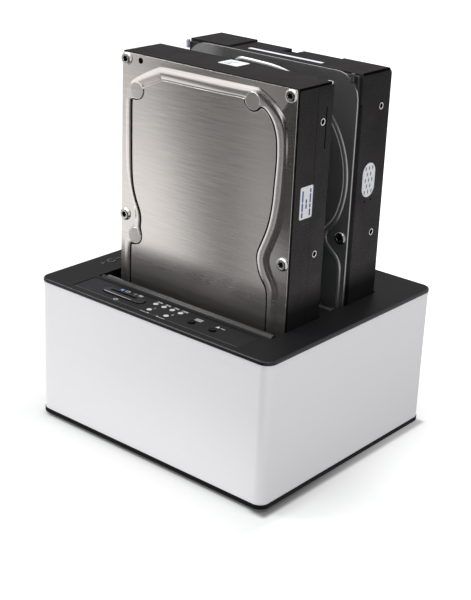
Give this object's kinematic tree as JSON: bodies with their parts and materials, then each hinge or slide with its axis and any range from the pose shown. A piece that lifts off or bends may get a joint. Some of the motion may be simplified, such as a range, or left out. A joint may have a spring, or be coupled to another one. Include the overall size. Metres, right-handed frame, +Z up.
{
  "type": "hard drive docking station",
  "caption": "Desktop docking station: light metal sleeve, black deck with a control panel, open drive bays with dust flaps, and docked bare hard drives standing upright.",
  "frame": {"origin": "on the floor, below the middle of the case", "axes": "+Z up, the control panel's side faces -Y, +X to the right as seen from the front"},
  "size_m": [0.1426, 0.1276, 0.1822],
  "materials": {
    "sleeve": "light satin anodised",
    "case_black": "fine satin black",
    "overlay": "smooth black sheet",
    "button_black": "smooth black",
    "flap_grey": "satin dark grey",
    "liner_black": "matt black",
    "light_blue": "clear lens, lit blue",
    "light_off": "dark red lens, off",
    "light_white": "milky white lens",
    "rubber": "matt black",
    "steel": "bright",
    "spring_steel": "drawn wire",
    "board_green": "solder mask",
    "part_black": "moulded",
    "switch_grey": "moulded",
    "led_cream": "moulded",
    "ribbon_grey": "cable sheath",
    "cap_blue": "shrink sleeve",
    "port_blue": "moulded",
    "cast_black": "black paint on a cast body",
    "cover_bright": "brushed, warm grey",
    "cover_dark": "dark grey satin paint",
    "platter": "polished",
    "arm": "machined",
    "magnet": "plated",
    "seal": "moulded"
  },
  "bodies": {
    "dock": {"outer_sleeve": "sleeve", "deck": "case_black", "base_plate": "case_black", "feet": "rubber", "base_screws": "steel", "bay_liner_1": "liner_black", "bay_liner_2": "liner_black", "liner_screws": "steel", "flap_pin_1": "steel", "flap_pin_2": "steel", "flap_spring_1": "spring_steel", "flap_spring_2": "spring_steel", "panel_overlay": "overlay", "switch_bodies": "switch_grey", "mode_light_lit": "light_blue", "mode_light_off": "light_off", "progress_lights": "light_white", "drive_lights": "light_white", "indicator_leds": "led_cream", "control_board": "board_green", "control_screws": "steel", "ribbon_cable": "ribbon_grey", "main_board": "board_green", "board_screws": "steel", "sata_socket_1": "part_black", "sata_socket_2": "part_black", "bridge_chips": "part_black", "capacitors": "cap_blue", "usb_port": "steel", "usb_tongue": "port_blue", "power_jack": "part_black", "rear_plate": "case_black"},
    "power_key": {"power_button": "button_black", "power_plunger": "part_black"},
    "mode_key": {"mode_button": "button_black", "mode_plunger": "part_black"},
    "start_key": {"start_button": "button_black", "start_plunger": "part_black"},
    "front_flap": {"flap_1": "flap_grey"},
    "rear_flap": {"flap_2": "flap_grey"},
    "front_drive": {"hdd_casting_1": "cast_black", "hdd_seal_1": "seal", "hdd_cover_1": "cover_bright", "hdd_cover_screws_1": "steel", "hdd_magnet_1": "magnet", "hdd_board_1": "board_green", "hdd_plug_1": "part_black"},
    "front_platters": {"hdd_platters_1": "platter"},
    "front_head_arm": {"hdd_head_arm_1": "arm"},
    "rear_drive": {"hdd_casting_2": "cast_black", "hdd_seal_2": "seal", "hdd_cover_2": "cover_dark", "hdd_cover_screws_2": "steel", "hdd_magnet_2": "magnet", "hdd_board_2": "board_green", "hdd_plug_2": "part_black"},
    "rear_platters": {"hdd_platters_2": "platter"},
    "rear_head_arm": {"hdd_head_arm_2": "arm"}
  },
  "joints": [
    {"name": "power_button_press", "type": "slide", "parent": "dock", "child": "power_key", "axis": [0, 0, -1], "range_m": [0, 0.0006], "stiffness_N_per_m": 1000},
    {"name": "mode_button_press", "type": "slide", "parent": "dock", "child": "mode_key", "axis": [0, 0, -1], "range_m": [0, 0.0006], "stiffness_N_per_m": 1000},
    {"name": "start_button_press", "type": "slide", "parent": "dock", "child": "start_key", "axis": [0, 0, -1], "range_m": [0, 0.0006], "stiffness_N_per_m": 1000},
    {"name": "front_flap_hinge", "type": "hinge", "parent": "dock", "child": "front_flap", "pos_m": [0.0038, -0.04, 0.0718], "axis": [-1, 0, 0], "range_deg": [0, 9], "stiffness_Nm_per_rad": 0.004, "springref_deg": -83.08},
    {"name": "front_drive_lift", "type": "slide", "parent": "dock", "child": "front_drive", "axis": [0, 0, 1], "range_m": [0, 0.06]},
    {"name": "front_platter_spin", "type": "hinge", "parent": "front_drive", "child": "front_platters", "pos_m": [0.00385, -0.0226, 0.1314], "axis": [0, -1, 0], "continuous": true},
    {"name": "front_head_arm_swing", "type": "hinge", "parent": "front_drive", "child": "front_head_arm", "pos_m": [0.02505, -0.0226, 0.0652], "axis": [0, -1, 0], "range_deg": [0, 25]},
    {"name": "rear_flap_hinge", "type": "hinge", "parent": "dock", "child": "rear_flap", "pos_m": [0.0038, 0.0039, 0.0718], "axis": [-1, 0, 0], "range_deg": [0, 9], "stiffness_Nm_per_rad": 0.004, "springref_deg": -83.08},
    {"name": "rear_drive_lift", "type": "slide", "parent": "dock", "child": "rear_drive", "axis": [0, 0, 1], "range_m": [0, 0.06]},
    {"name": "rear_platter_spin", "type": "hinge", "parent": "rear_drive", "child": "rear_platters", "pos_m": [0.00385, 0.0213, 0.1314], "axis": [0, -1, 0], "continuous": true},
    {"name": "rear_head_arm_swing", "type": "hinge", "parent": "rear_drive", "child": "rear_head_arm", "pos_m": [0.02505, 0.0213, 0.0652], "axis": [0, -1, 0], "range_deg": [0, 25]}
  ]
}
